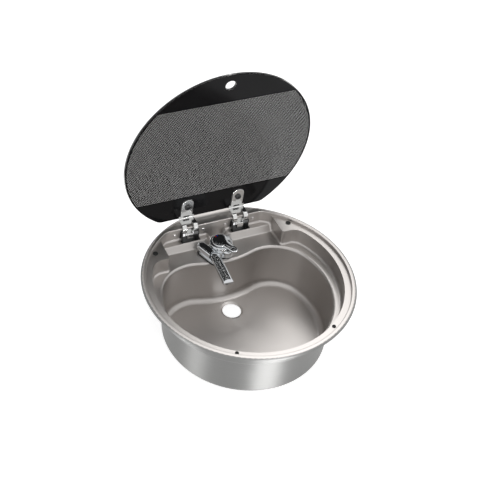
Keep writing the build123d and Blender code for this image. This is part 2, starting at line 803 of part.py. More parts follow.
def tap_cartridge():
    can = post(cartridge_r, cartridge_floor + rest_gap, head_seat)
    low = cartridge_floor - 1
    high = cartridge_floor + port_depth
    for side in (-1, 1):
        can -= post(port_r, low, high, inlet_x, side * inlet_y)
    can -= post(passage_r, low, high, -outlet_x, 0)
    can -= post(spindle_r + slide_fit, head_seat - spindle_hole, head_seat + 1)
    return on_tap(can)


def cartridge_nut():
    """Ring nut that keeps the cartridge in the head."""
    low = head_seat + rest_gap
    nut = slab(RegularPolygon(stem_nut_r, stem_nut_sides), low, low + stem_nut_t)
    return on_tap(nut - post(spindle_r + stem_nut_hole, low - 1, low + stem_nut_t + 1))


def lever_spindle():
    rod = post(spindle_r, head_seat - spindle_hole + loose_fit, lift_z)
    head = Pos(0, 0, lift_z) * Box(2 * stem_half_x, 2 * stem_half_y, 2 * stem_half_z)
    return on_tap(rod + head - rod_x(lift_hole_r, -through, through, 0, lift_z))


def lift_pin():
    return on_tap(rod_x(lift_hole_r - lift_pin_clear, -lift_pin_half, lift_pin_half, 0, lift_z))


def lever():
    """Hollow cap over the head with a tapering handle that ends in a round tip."""
    cap_r = head_r - ring_wall - cap_gap
    tip_top = cap_top + 2 * lever_len * math.tan(math.radians(lever_rise))
    cap = post(cap_r, cap_low, tip_top)
    root = lever_root_w / 2
    tip = lever_tip_w / 2
    taper = Polyline((-root, 0), (root, 0), (tip, -lever_len), (-tip, -lever_len), close=True)
    handle = make_face(taper)
    handle += Pos(0, -lever_len) * Circle(tip)
    part = cap + slab(handle, lever_low, tip_top)
    crown = Pos(0, 0, cap_top) * Rot(-lever_rise, 0, 0) * Pos(0, 0, -lever_crown_r) * Rot(90, 0, 0)
    part = part & (crown * Cylinder(lever_crown_r, 4 * lever_len))
    top = part.faces().filter_by(GeomType.CYLINDER).sort_by(Axis.Z)[-1]
    part = fillet(top.edges(), lever_edge_r)
    part -= post(cap_hollow_r, cap_low - 1, cap_hollow_top)
    grip = Pos(0, -lever_len) * SlotOverall(grip_h, grip_w, 90)
    part -= Rot(-lever_rise, 0, 0) * slab(grip, cap_top - grip_depth, cap_top + 1)
    x0 = stem_half_x + cheek_gap
    y0 = cheek_half_y
    cheek = block(x0, x0 + cheek_t, -y0, y0, cap_low + cheek_lift, cap_hollow_top + 0.5)
    part = part + cheek + mirror(cheek, Plane.YZ)
    pin_half = lift_pin_half + cheek_gap
    part -= rod_x(lift_hole_r, -pin_half, pin_half, 0, lift_z)
    for x in (-dot_x, dot_x):
        part -= post(dot_r + dot_clear, dot_low, cap_top + 1, x, dot_y)
    return on_tap(part)


def index_dot(side):
    return on_tap(post(dot_r, dot_low + rest_gap, dot_low + dot_h, side * dot_x, dot_y))


def on_spout(shape):
    base = Rot(0, 0, tap_turn) * Pos(bar_x, pivot_y, 0)
    spot = base.position
    return Pos(head_x + spot.X, head_y + spot.Y, deck_z) * Rot(0, 0, spout_turn) * shape


def spout_section():
    """Section of the spout: flat underneath, round shoulders and a slightly arched top."""
    half = spout_w / 2
    shoulder = spout_t - spout_crown
    top = ThreePointArc((half, shoulder), (0, spout_t), (-half, shoulder))
    rest = Polyline((-half, shoulder), (-half, 0), (half, 0), (half, shoulder))
    face = make_face(top.edges() + rest.edges())
    return fillet(face.vertices().group_by(Axis.Y)[-1], shoulder_r)


def spout():
    """Flat swinging spout with a pivot stud at the back and a mouth for the aerator."""
    z0 = seat_top + spout_gap
    section = Plane((0, 0, z0), x_dir=(1, 0, 0), z_dir=(0, -1, 0)) * spout_section()
    body = extrude(section, spout_len)
    right_half = Pos(spout_w / 4, spout_t / 2) * Rectangle(spout_w / 2, 2 * spout_t)
    root = Pos(0, z0) * (spout_section() & right_half)
    body += Rot(0, 0, 90) * revolve(Plane.XZ * root, Axis.Z)
    nose = Polyline(
        (-spout_len - 1, z0 - 1),
        (-spout_len - 1, z0 + spout_t + 1),
        (-spout_len + spout_bevel, z0 + spout_t + 1),
        (-spout_len, z0 + spout_t - spout_bevel),
        (-spout_len, z0 - 1),
        close=True,
    )
    body -= extrude(Plane.YZ * make_face(nose), spout_w, both=True)
    out_y = -spout_len + aerator_back
    body += post(aerator_r + boss_wall, z0 - spout_boss, z0 + 1, 0, out_y)
    low = seat_top - pivot_depth / 2 - ring_half
    groove = post(pivot_r + 1, low, low + 2 * ring_half)
    groove -= post(pivot_r - ring_groove, low - 1, low + 2 * ring_half + 1)
    body = body + post(pivot_r, seat_top - pivot_depth + spout_gap, z0 + 1) - groove
    mid = z0 + spout_t / 2
    body -= post(stud_bore_r, seat_top - pivot_depth - 1, mid)
    body -= rod_y(spout_way_r, -out_y, 0, out_y / 2, mid)
    body -= post(aerator_r, z0 - spout_boss - 1, mid - mouth_floor, 0, out_y)
    body -= post(spout_way_r, mid - mouth_floor - 1, mid, 0, out_y)
    return on_spout(body)


def spout_o_ring():
    z = seat_top - pivot_depth / 2
    half = ring_half - slide_fit
    ring = post(pivot_r + rest_gap, z - half, z + half)
    ring -= post(pivot_r - ring_groove + slide_fit, z - 2 * half, z + 2 * half)
    return on_spout(ring)


def aerator():
    mid = seat_top + spout_gap + spout_t / 2
    low = seat_top + spout_gap - spout_boss - aerator_out
    y = -spout_len + aerator_back
    can = post(aerator_r - slide_fit, low, mid - mouth_floor - loose_fit, 0, y)
    can = chamfer(can.edges().group_by(Axis.Z)[0], aerator_edge)
    return on_spout(can - post(aerator_r - aerator_wall, low - 1, mid, 0, y))


def aerator_screen():
    low = seat_top + spout_gap - spout_boss - aerator_out
    y = -spout_len + aerator_back
    z0 = low + screen_in
    z1 = z0 + screen_t
    disc = post(aerator_r - aerator_wall - slide_fit, z0, z1, 0, y)
    disc -= post(screen_hole_r, z0 - 1, z1 + 1, 0, y)
    for i in range(screen_holes):
        a = 2 * math.pi * i / screen_holes
        x = screen_ring_r * math.cos(a)
        disc -= post(screen_hole_r, z0 - 1, z1 + 1, x, y + screen_ring_r * math.sin(a))
    return on_spout(disc)


def shank_washer():
    z1 = -sheet - gasket_gap
    disc = post(shank_r + washer_over, z1 - washer_t, z1)
    return on_tap(disc - post(shank_r + loose_fit, -shank_len, 1))


def shank_nut():
    z1 = -sheet - washer_t - 2 * gasket_gap
    hexagon = slab(RegularPolygon(shank_r + nut_over, hex_sides), z1 - nut_t, z1)
    return on_tap(hexagon - post(shank_r + slide_fit, -shank_len, 1))


def main():
    lift = basin_depth + dish_depth + sheet
    both = (-1, 1)
    nodes = {
        "sink_bowl": sink_bowl(),
        "rim_seal": rim_seal(),
        "rear_buffers": rear_buffers(),
        "front_buffers": front_buffers(),
        "lid_glass": lid_glass(),
        "hinge_leaf_left": hinge_leaf(-1),
        "hinge_leaf_right": hinge_leaf(1),
        "hinge_pads": [hinge_pad(s) for s in both],
        "lid_screws": [lid_screw(s) for s in both],
        "screw_sleeves": [screw_sleeve(s) for s in both],
        "cap_washers": [cap_washer(s) for s in both],
        "cap_nuts": [cap_nut(s) for s in both],
        "hinge_bracket_left": hinge_bracket(-1),
        "hinge_bracket_right": hinge_bracket(1),
        "hinge_pins": [hinge_pin(s) for s in both],
        "pin_clips": pin_clips(-1) + pin_clips(1),
        "friction_rings": friction_rings(-1) + friction_rings(1),
        "hinge_rivets": hinge_rivets(-1) + hinge_rivets(1),
        "hinge_tub_left": hinge_tub(-1),
        "hinge_tub_right": hinge_tub(1),
        "tap_gasket": tap_gasket(),
        "tap_body": tap_body(),
        "head_ring": head_ring(),
        "tap_cartridge": tap_cartridge(),
        "cartridge_nut": cartridge_nut(),
        "lever_spindle": lever_spindle(),
        "lift_pin": lift_pin(),
        "lever": lever(),
        "index_red": index_dot(-1),
        "index_blue": index_dot(1),
        "spout": spout(),
        "spout_o_ring": spout_o_ring(),
        "aerator_housing": aerator(),
        "aerator_screen": aerator_screen(),
        "shank_washer": shank_washer(),
        "shank_nut": shank_nut(),
    }
    os.makedirs("parts", exist_ok=True)
    for name, shape in nodes.items():
        solids = []
        for piece in shape if isinstance(shape, list) else [shape]:
            solids += (Pos(0, 0, lift) * piece).solids()
        whole = solids[0] if len(solids) == 1 else Compound(children=solids)
        export_step(whole, f"parts/{name}.step")
        print(name, len(solids), round(sum(s.volume for s in solids)))


main()
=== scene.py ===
import json
import math
import bpy
import bmesh
from mathutils import Matrix, Vector


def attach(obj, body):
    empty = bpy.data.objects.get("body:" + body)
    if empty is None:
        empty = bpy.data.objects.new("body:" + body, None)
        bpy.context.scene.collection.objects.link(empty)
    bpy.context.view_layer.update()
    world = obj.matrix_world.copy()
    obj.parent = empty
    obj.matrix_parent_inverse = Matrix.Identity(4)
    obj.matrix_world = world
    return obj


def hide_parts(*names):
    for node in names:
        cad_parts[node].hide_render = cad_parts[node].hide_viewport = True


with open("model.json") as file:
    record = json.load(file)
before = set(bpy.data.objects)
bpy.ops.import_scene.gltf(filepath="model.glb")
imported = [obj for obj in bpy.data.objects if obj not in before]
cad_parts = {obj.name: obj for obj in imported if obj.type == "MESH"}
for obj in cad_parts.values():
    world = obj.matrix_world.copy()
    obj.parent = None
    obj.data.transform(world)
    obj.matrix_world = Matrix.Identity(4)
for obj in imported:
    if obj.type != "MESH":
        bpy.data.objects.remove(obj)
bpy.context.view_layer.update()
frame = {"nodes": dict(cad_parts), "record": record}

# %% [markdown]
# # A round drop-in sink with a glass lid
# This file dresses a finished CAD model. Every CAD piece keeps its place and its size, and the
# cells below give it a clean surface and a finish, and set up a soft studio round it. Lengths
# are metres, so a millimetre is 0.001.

MM = 0.001

# %% [markdown]
# Colours are written as the hex values that a paint card or an image editor shows. Blender's
# shaders want linear light, so one function turns each of them. Two more helpers keep the node
# trees short to read: one adds a node with all its settings, one starts an empty material.

# %% Colour and node helpers
def linear(hex_colour):
    """A colour written as #RRGGBB, as the linear RGBA that a shader wants."""
    out = []
    for start in (1, 3, 5):
        c = int(hex_colour[start:start + 2], 16) / 255
        out.append(c / 12.92 if c <= 0.04045 else ((c + 0.055) / 1.055) ** 2.4)
    return (*out, 1.0)


def add_node(tree, kind, links=None, **settings):
    """Adds a node with its properties, and links or sets the inputs that are named in links."""
    node = tree.nodes.new(kind)
    for key, value in settings.items():
        setattr(node, key, value)
    for key, value in (links or {}).items():
        socket = node.inputs[key]
        if isinstance(value, bpy.types.NodeSocket):
            tree.links.new(value, socket)
        else:
            socket.default_value = value
    return node


def new_material(name):
    """An empty node material and its output node."""
    mat = bpy.data.materials.new(name)
    mat.use_nodes = True
    tree = mat.node_tree
    tree.nodes.clear()
    out = add_node(tree, "ShaderNodeOutputMaterial")
    return mat, tree, out


print("#808080 in linear light", [round(v, 3) for v in linear("#808080")[:3]])

# %% [markdown]
# ## Deep-drawn stainless steel
# The bowl is one sheet of chromium-nickel steel, drawn in a press. Outside it is brushed round
# and round with an abrasive belt. The grit leaves fine rings, so the highlights are pulled out
# across them into upright bands. The shader does that with a tangent that runs round the Z
# axis and a quarter turn of its anisotropy. Inside, the steel has a softer satin polish with
# hardly any direction. A faint noise, stretched along the rings, stands for the scratches.
# Real ones are about 0.05 mm wide, far too fine to show, so they are drawn about 1 mm wide.
# The outside is also given a much darker colour than the inside. That is painted shade for the
# darker surroundings that the outer wall reflects, not a colour of the brushing.

# %% Brushed and satin stainless steel
BRUSH_WIDTH = 1.0 * MM  # drawn width of a brush line
BRUSH_DETAIL = 3.0  # finer scratches inside each drawn line
NOISE_LOW, NOISE_HIGH = 0.3, 0.7  # most of the noise's values lie between these
QUARTER_TURN = 0.25  # lays the wide lobe across the brush lines


def ring_lines(tree):
    """A noise that changes across the brush rings and stays the same along them."""
    place = add_node(tree, "ShaderNodeTexCoord").outputs["Object"]
    split = add_node(tree, "ShaderNodeSeparateXYZ", {"Vector": place})
    flat = add_node(
        tree, "ShaderNodeCombineXYZ", {"X": split.outputs["X"], "Y": split.outputs["Y"]}
    )
    radius = add_node(tree, "ShaderNodeVectorMath", {0: flat.outputs[0]}, operation="LENGTH")
    rings = add_node(
        tree,
        "ShaderNodeCombineXYZ",
        {"X": radius.outputs["Value"], "Y": split.outputs["Z"], "Z": 0.0},
    )
    noise = add_node(
        tree,
        "ShaderNodeTexNoise",
        {"Vector": rings.outputs[0], "Scale": 1 / BRUSH_WIDTH, "Detail": BRUSH_DETAIL},
    )
    return noise.outputs["Fac"]


def steel(name, colour, roughness, spread, anisotropic):
    """Stainless steel whose roughness varies by the spread across the brush rings."""
    mat, tree, out = new_material(name)
    rough = add_node(
        tree,
        "ShaderNodeMapRange",
        {
            "Value": ring_lines(tree),
            "From Min": NOISE_LOW,
            "From Max": NOISE_HIGH,
            "To Min": roughness - spread,
            "To Max": roughness + spread,
        },
    )
    ring_way = add_node(tree, "ShaderNodeTangent", direction_type="RADIAL", axis="Z")
    metal = add_node(
        tree,
        "ShaderNodeBsdfPrincipled",
        {
            "Base Color": linear(colour),
            "Metallic": 1.0,
            "Roughness": rough.outputs["Result"],
            "Anisotropic": anisotropic,
            "Anisotropic Rotation": QUARTER_TURN,
            "Tangent": ring_way.outputs[0],
        },
    )
    tree.links.new(metal.outputs[0], out.inputs["Surface"])
    return mat


# The outside colour is set far under the steel's own, as painted shade; the inside keeps a true
# steel colour.
steel_outside_painted_shade = steel("Brushed stainless steel with painted shade", "#8C8C8B", 0.5, 0.05, 0.9)
steel_inside = steel("Satin stainless steel", "#BCB8B5", 0.38, 0.015, 0.25)
print("made", steel_outside_painted_shade.name, "and", steel_inside.name)

# %% [markdown]
# ## Plain finishes
# The tap is brass under mirror chrome, the hinge leaves are blanked from bright rolled steel,
# and the small parts are moulded plastic, rubber or turned brass. Each is one even surface, so
# each needs only a colour, a metallic value and a roughness. Chrome is very smooth and a touch
# blue, rolled steel scatters a little, moulded ABS has a soft sheen and rubber almost none.

# %% Plain finishes
def plain(name, colour, metallic, roughness, **more):
    """One even surface, with any further shader inputs by name."""
    mat, tree, out = new_material(name)
    values = {"Base Color": linear(colour), "Metallic": metallic, "Roughness": roughness}
    values.update({key.replace("_", " "): value for key, value in more.items()})
    body = add_node(tree, "ShaderNodeBsdfPrincipled", values)
    tree.links.new(body.outputs[0], out.inputs["Surface"])
    return mat


chrome = plain("Chrome plated brass", "#D4D6D8", 1.0, 0.07)
bright_steel = plain("Bright rolled steel", "#D6D6D5", 1.0, 0.16)
black_abs = plain("Moulded black ABS", "#111112", 0.0, 0.35)
black_screw_steel = plain("Black oxide steel", "#1A1A1B", 0.0, 0.28)
white_pom = plain("White acetal", "#D9D8D2", 0.0, 0.4)
rubber = plain("Black EPDM rubber", "#1B1B1B", 0.0, 0.75)
foam = plain("Closed-cell foam", "#232323", 0.0, 0.95)
turned_brass = plain("Turned brass", "#C2A15A", 1.0, 0.3)
red_dot = plain("Red enamel", "#B5152E", 0.0, 0.25)
blue_dot = plain("Blue enamel", "#2A3FB0", 0.0, 0.25)
print("plain finishes", [m.name for m in bpy.data.materials])

# %% [markdown]
# ## Printed toughened glass
# The lid is a 5 mm pane of toughened glass with black enamel fired onto its inner face. The
# enamel is solid at the hinges, along the edge and behind the finger hole, and between them it
# is a fine mesh with tiny clear dots. The pane is clear glass, and only the faces of its inner
# side get the enamel, which is one shader whose transmission is switched by the print's shape.
# The print is drawn in the lid's own flat coordinates, which a Mapping node makes by moving
# and turning the object's coordinates. The real dots are about 1.2 mm apart, too fine to show,
# so they are drawn 3 mm apart.

# %% The lid's own coordinates
RIM_TOP = 146.0  # mm over the floor
LID_EDGE = Vector((0.0, 193.2, RIM_TOP + 6.0)) * MM  # middle of the straight edge, inner face
LID_LEAN = math.radians(4.5)  # back from upright
UP_LID = Vector((0.0, -math.sin(LID_LEAN), math.cos(LID_LEAN)))
INWARD = Vector((0.0, -math.cos(LID_LEAN), -math.sin(LID_LEAN)))
GLASS_R = 195.4 * MM
GLASS_CENTRE = 159.6 * MM  # over the straight edge
BORDER = 4.5 * MM  # solid enamel round the rim of the pane
BAND_LOW = 61.0 * MM  # the solid band at the hinges ends here
BAND_HIGH = 291.0 * MM  # the solid band at the finger hole starts here
DOT_PITCH = 3.0 * MM
CLEAR_DOT_R = 0.54 * MM
print("lid leans", round(math.degrees(LID_LEAN), 2), "degrees")


# %% [markdown]
# The print is one mask: 1 inside a clear dot of the meshed field and 0 on the solid enamel. It
# takes the distance from the pane's middle, the two solid bands and the distance from the
# nearest dot, with every other row shifted by half a pitch.

# %% Glass and enamel
DOT_COLOUR = "#F4F2F0"
ENAMEL_COLOUR = "#0C0C0D"
MIX_A, MIX_B, MIX_OUT = 6, 7, 2  # a Mix node's colour sockets, which share names with others


def enamel_glass():
    """Black enamel that lets light through in its dots."""
    mat, tree, out = new_material("Black enamel fired on glass")
    place = add_node(tree, "ShaderNodeTexCoord").outputs["Object"]
    local = add_node(
        tree,
        "ShaderNodeMapping",
        {
            "Vector": place,
            "Location": tuple(LID_EDGE),
            "Rotation": (math.pi / 2 + LID_LEAN, 0.0, 0.0),
        },
        vector_type="TEXTURE",
    )
    xyz = add_node(tree, "ShaderNodeSeparateXYZ", {"Vector": local.outputs[0]})
    across = xyz.outputs["X"]
    up = xyz.outputs["Y"]

    def calc(kind, a, b=0.0, c=0.0):
        return add_node(tree, "ShaderNodeMath", {0: a, 1: b, 2: c}, operation=kind).outputs[0]

    from_centre = calc("SUBTRACT", up, GLASS_CENTRE)
    across_2 = calc("MULTIPLY", across, across)
    distance = calc("SQRT", calc("ADD", across_2, calc("MULTIPLY", from_centre, from_centre)))
    inside = calc("LESS_THAN", distance, GLASS_R - BORDER)
    above = calc("GREATER_THAN", up, BAND_LOW)
    under = calc("LESS_THAN", up, BAND_HIGH)
    field = calc("MULTIPLY", inside, calc("MULTIPLY", above, under))
    row = calc("FLOOR", calc("DIVIDE", up, DOT_PITCH))
    shift = calc("MULTIPLY", calc("MODULO", row, 2.0), DOT_PITCH / 2)
    shifted = calc("ADD", across, shift)
    dx = calc("SUBTRACT", calc("FLOORED_MODULO", shifted, DOT_PITCH), DOT_PITCH / 2)
    dy = calc("SUBTRACT", calc("FLOORED_MODULO", up, DOT_PITCH), DOT_PITCH / 2)
    from_dot = calc("SQRT", calc("ADD", calc("MULTIPLY", dx, dx), calc("MULTIPLY", dy, dy)))
    dot = calc("LESS_THAN", from_dot, CLEAR_DOT_R)
    clear = calc("MULTIPLY", field, dot)
    mix = add_node(tree, "ShaderNodeMix", {0: clear}, data_type="RGBA")
    mix.inputs[MIX_A].default_value = linear(ENAMEL_COLOUR)
    mix.inputs[MIX_B].default_value = linear(DOT_COLOUR)
    body = add_node(
        tree,
        "ShaderNodeBsdfPrincipled",
        {
            "Base Color": mix.outputs[MIX_OUT],
            "Roughness": 0.12,
            "Transmission Weight": clear,
            "IOR": 1.45,
            "Specular IOR Level": 0.12,
        },
    )
    tree.links.new(body.outputs[0], out.inputs["Surface"])
    return mat


clear_glass = plain(
    "Toughened clear glass", "#EDEDEC", 0.0, 0.02, Transmission_Weight=1.0, IOR=1.5
)
enamel = enamel_glass()
print("glass and enamel ready")

# %% [markdown]
# ## A clean surface on each CAD piece
# A CAD piece arrives as loose triangles. For smooth reflections its corners are joined, its
# gentle edges are shaded round and its real edges are marked sharp. A Weighted Normal modifier
# lets the big flat faces keep their flat light beside small fillets. The copy stands in for
# the CAD piece and rides on the same body.

# %% Dressing a CAD piece
WELD = 0.002 * MM  # corners nearer than this are one
GENTLE_EDGE = 32.0  # degrees, shaded round below this
FACE_WEIGHT = 80  # how far big faces outweigh small ones


def smooth_copy(node, angle):
    """A joined, smooth-shaded copy of a CAD node's mesh."""
    source = frame["nodes"][node]
    mesh = source.data.copy()
    if "custom_normal" in mesh.attributes:
        mesh.attributes.remove(mesh.attributes["custom_normal"])
    bm = bmesh.new()
    bm.from_mesh(mesh)
    bmesh.ops.remove_doubles(bm, verts=bm.verts, dist=WELD)
    for edge in bm.edges:
        wide = edge.calc_face_angle(math.pi) if len(edge.link_faces) == 2 else math.pi
        edge.smooth = wide < math.radians(angle)
    for face in bm.faces:
        face.smooth = True
    bm.to_mesh(mesh)
    bm.free()
    mesh.name = node + "_skin"
    return mesh


def dress(node, material, angle=GENTLE_EDGE):
    """The smooth copy with its finish, riding on the CAD piece's body in place of it."""
    bodies = frame["record"]["behaviour"]["bodies"]
    body = next(name for name, nodes in bodies.items() if node in nodes)
    mesh = smooth_copy(node, angle)
    mesh.materials.clear()
    mesh.materials.append(material)
    obj = bpy.data.objects.new(node + "_skin", mesh)
    bpy.context.scene.collection.objects.link(obj)
    weigh = obj.modifiers.new("Even light on flat faces", "WEIGHTED_NORMAL")
    weigh.keep_sharp = True
    weigh.weight = FACE_WEIGHT
    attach(obj, body)
    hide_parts(node)
    return obj


print("edges over", GENTLE_EDGE, "degrees stay sharp")

# %% [markdown]
# ## The bowl
# The bowl is the biggest piece and carries the look of the whole sink. Its faces are sorted by
# the way they look: those that look outwards or down get the brushed finish, whose colour is
# painted darker as painted shade, and the rest get the satin one. Its seat ring of foam and its
# buffers are soft and dark.

# %% Bowl, seal and buffers
BOWL_EDGE = 25.0  # degrees, since the drawn steel's bends are wide
FACES_OUT = 0.3  # a face that looks out or down by more than this is outside

bowl = dress("sink_bowl", steel_inside, BOWL_EDGE)
bowl.data.materials.append(steel_outside_painted_shade)
# Faces that look out or down take the outside steel, whose darker colour is painted shade.
for face in bowl.data.polygons:
    away = Vector((face.center.x, face.center.y, 0.0)).normalized()
    if face.normal.dot(away) > FACES_OUT or face.normal.z < -FACES_OUT:
        face.material_index = 1
seal = dress("rim_seal", foam)
buffers = [dress(name, rubber) for name in ("rear_buffers", "front_buffers")]
print("bowl faces", len(bowl.data.polygons))

# %% [markdown]
# ## The lid
# The pane gets two finishes: clear glass on its edges and outer face, and enamel on the
# faces that look inward.

# %% Lid glass
PANE_EDGE = 20.0  # degrees, to keep the ground edge crisp
SQUARE_ON = 0.999  # the cosine over which a face looks straight inwards
NEAR_PLANE = 0.1 * MM

pane = dress("lid_glass", clear_glass, PANE_EDGE)
pane.data.materials.append(enamel)
inner = 0
for face in pane.data.polygons:
    off_plane = abs((face.center - LID_EDGE).dot(INWARD))
    if face.normal.dot(INWARD) > SQUARE_ON and off_plane < NEAR_PLANE:
        face.material_index = 1
        inner += 1
print("enamelled faces", inner)

# %% [markdown]
# ## Hinges
# Bright blanked leaves with black screws, riding on brackets behind the back wall.

# %% Hinge pieces
HINGE_LOOKS = {
    "hinge_leaf_left": (bright_steel, "bright_steel"),
    "hinge_leaf_right": (bright_steel, "bright_steel"),
    "hinge_pads": (rubber, "rubber"),
    "lid_screws": (black_screw_steel, "black_screw"),
    "screw_sleeves": (white_pom, "white_plastic"),
    "cap_washers": (rubber, "rubber"),
    "cap_nuts": (black_screw_steel, "black_screw"),
    "hinge_bracket_left": (bright_steel, "bright_steel"),
    "hinge_bracket_right": (bright_steel, "bright_steel"),
    "hinge_pins": (bright_steel, "bright_steel"),
    "pin_clips": (bright_steel, "bright_steel"),
    "friction_rings": (white_pom, "white_plastic"),
    "hinge_rivets": (bright_steel, "bright_steel"),
    "hinge_tub_left": (black_abs, "black_plastic"),
    "hinge_tub_right": (black_abs, "black_plastic"),
}
for piece, (finish, slot_name) in HINGE_LOOKS.items():
    dress(piece, finish)
print("hinge pieces", len(HINGE_LOOKS))

# %% [markdown]
# ## Mixer tap
# Cast and polished brass under chrome, with a loose lever over the cartridge and a flat
# spout that swings from side to side.

# %% Tap pieces
TAP_LOOKS = {
    "tap_gasket": (rubber, "rubber"),
    "tap_body": (chrome, "chrome"),
    "head_ring": (chrome, "chrome"),
    "tap_cartridge": (white_pom, "white_plastic"),
    "cartridge_nut": (turned_brass, "brass"),
    "lever_spindle": (turned_brass, "brass"),
    "lift_pin": (bright_steel, "bright_steel"),
    "lever": (chrome, "chrome"),
    "index_red": (red_dot, "red_plastic"),
    "index_blue": (blue_dot, "blue_plastic"),
    "spout": (chrome, "chrome"),
    "spout_o_ring": (rubber, "rubber"),
    "aerator_housing": (black_abs, "black_plastic"),
    "aerator_screen": (white_pom, "white_plastic"),
    "shank_washer": (rubber, "rubber"),
    "shank_nut": (turned_brass, "brass"),
}
for piece, (finish, slot_name) in TAP_LOOKS.items():
    dress(piece, finish)
print("tap pieces", len(TAP_LOOKS))

# %% [markdown]
# ## Thread and grip ribs
# Two small features repeat, so Geometry Nodes make them: the thread on the tap's shank and the
# grip ribs of the aerator. Both trees start with named sizes and end in real geometry with one
# finish, so those two steps are shared.

# %% Start and end of a tree
def new_tree(name, inputs):
    """A node tree with named inputs and one mesh output."""
    tree = bpy.data.node_groups.new(name, "GeometryNodeTree")
    tree.interface.new_socket("Geometry", in_out="OUTPUT", socket_type="NodeSocketGeometry")
    for label, kind, value in inputs:
        socket = tree.interface.new_socket(label, in_out="INPUT", socket_type=kind)
        socket.default_value = value
    return tree, tree.nodes.new("NodeGroupInput").outputs


def end_tree(tree, instances, place, finish):
    """Makes the instances real, sets them in place and gives them their finish."""
    real = add_node(tree, "GeometryNodeRealizeInstances", {"Geometry": instances})
    moved = add_node(
        tree, "GeometryNodeTransform", {"Geometry": real.outputs[0], "Translation": place}
    )
    done = add_node(
        tree, "GeometryNodeSetMaterial", {"Geometry": moved.outputs[0], "Material": finish}
    )
    out = tree.nodes.new("NodeGroupOutput")
    tree.links.new(done.outputs[0], out.inputs[0])
    return tree


# %% [markdown]
# The threaded end of the shank has a fine pipe thread, cut on a lathe. From a step away its
# turns read as a stack of rings, so a small round section is swept round a circle and the ring
# is repeated down a line. A true helix would look the same from there and be harder to follow.

# %% Thread turns
CIRCLE_POINTS = 64  # points of a circle that a feature follows
SECTION_POINTS = 8  # points of a thread turn's round section


def thread_tree(finish):
    """Rings of a round section, one under the other."""
    tree, given = new_tree(
        "Thread turns",
        [
            ("Shank radius", "NodeSocketFloat", 14.0 * MM),
            ("Turn height", "NodeSocketFloat", 0.45 * MM),
            ("Pitch", "NodeSocketFloat", 1.5 * MM),
            ("Turns", "NodeSocketInt", 22),
            ("Top", "NodeSocketVector", (0.0, 0.0, 0.0)),
        ],
    )
    ring = add_node(
        tree,
        "GeometryNodeCurvePrimitiveCircle",
        {"Resolution": CIRCLE_POINTS, "Radius": given["Shank radius"]},
    )
    section = add_node(
        tree,
        "GeometryNodeCurvePrimitiveCircle",
        {"Resolution": SECTION_POINTS, "Radius": given["Turn height"]},
    )
    swept = add_node(
        tree,
        "GeometryNodeCurveToMesh",
        {"Curve": ring.outputs["Curve"], "Profile Curve": section.outputs["Curve"]},
    )
    drop = add_node(tree, "ShaderNodeMath", {0: given["Pitch"], 1: -1.0}, operation="MULTIPLY")
    step = add_node(tree, "ShaderNodeCombineXYZ", {"Z": drop.outputs[0]})
    line = add_node(
        tree, "GeometryNodeMeshLine", {"Count": given["Turns"], "Offset": step.outputs[0]}
    )
    turns = add_node(
        tree,
        "GeometryNodeInstanceOnPoints",
        {"Points": line.outputs[0], "Instance": swept.outputs[0]},
    )
    return end_tree(tree, turns.outputs[0], given["Top"], finish)


# %% [markdown]
# The aerator's housing has fine moulded ribs for the fingers that unscrew it. Each is a small
# block, set on a point of a circle and turned to face away from its middle.

# %% Grip ribs
def rib_tree(finish):
    """Small upright blocks round a circle."""
    tree, given = new_tree(
        "Grip ribs",
        [
            ("Housing radius", "NodeSocketFloat", 7.55 * MM),
            ("Rib", "NodeSocketVector", (0.7 * MM, 0.5 * MM, 3.6 * MM)),
            ("Ribs", "NodeSocketInt", 28),
            ("Middle", "NodeSocketVector", (0.0, 0.0, 0.0)),
        ],
    )
    circle = add_node(
        tree,
        "GeometryNodeCurvePrimitiveCircle",
        {"Resolution": CIRCLE_POINTS, "Radius": given["Housing radius"]},
    )
    spots = add_node(
        tree,
        "GeometryNodeCurveToPoints",
        {"Curve": circle.outputs["Curve"], "Count": given["Ribs"]},
    )
    block = add_node(tree, "GeometryNodeMeshCube", {"Size": given["Rib"]})
    outward = add_node(tree, "GeometryNodeInputPosition")
    facing = add_node(
        tree,
        "FunctionNodeAlignRotationToVector",
        {"Vector": outward.outputs[0]},
        axis="X",
        pivot_axis="Z",
    )
    ribs = add_node(
        tree,
        "GeometryNodeInstanceOnPoints",
        {
            "Points": spots.outputs["Points"],
            "Instance": block.outputs["Mesh"],
            "Rotation": facing.outputs[0],
        },
    )
    return end_tree(tree, ribs.outputs[0], given["Middle"], finish)


# %% [markdown]
# Each tree runs on an empty mesh. Its result is copied to a plain mesh that rides on the body
# it belongs to: the thread on the sink, the ribs on the swinging spout. The thread is shaded
# round and the ribs keep their flat sides.

# %% From a tree to a plain mesh
def grow(name, tree, values, body, rounded):
    """Runs a tree with the given inputs and keeps its result as a plain mesh on a body."""
    seed = bpy.data.objects.new(name + "_seed", bpy.data.meshes.new(name + "_seed"))
    bpy.context.scene.collection.objects.link(seed)
    modifier = seed.modifiers.new("Repeat", "NODES")
    modifier.node_group = tree
    for socket in tree.interface.items_tree:
        if socket.in_out == "INPUT" and socket.name in values:
            modifier[socket.identifier] = values[socket.name]
    seed.update_tag()
    graph = bpy.context.evaluated_depsgraph_get()
    mesh = bpy.data.meshes.new_from_object(seed.evaluated_get(graph), depsgraph=graph)
    mesh.name = name
    bpy.data.objects.remove(seed)
    obj = bpy.data.objects.new(name, mesh)
    bpy.context.scene.collection.objects.link(obj)
    for face in mesh.polygons:
        face.use_smooth = rounded
    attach(obj, body)
    print(name, "faces", len(mesh.polygons))
    return obj


# %% [markdown]
# The thread starts under the nut on the shank, and the ribs go round the middle of the
# aerator's housing, whose places come from the CAD model.

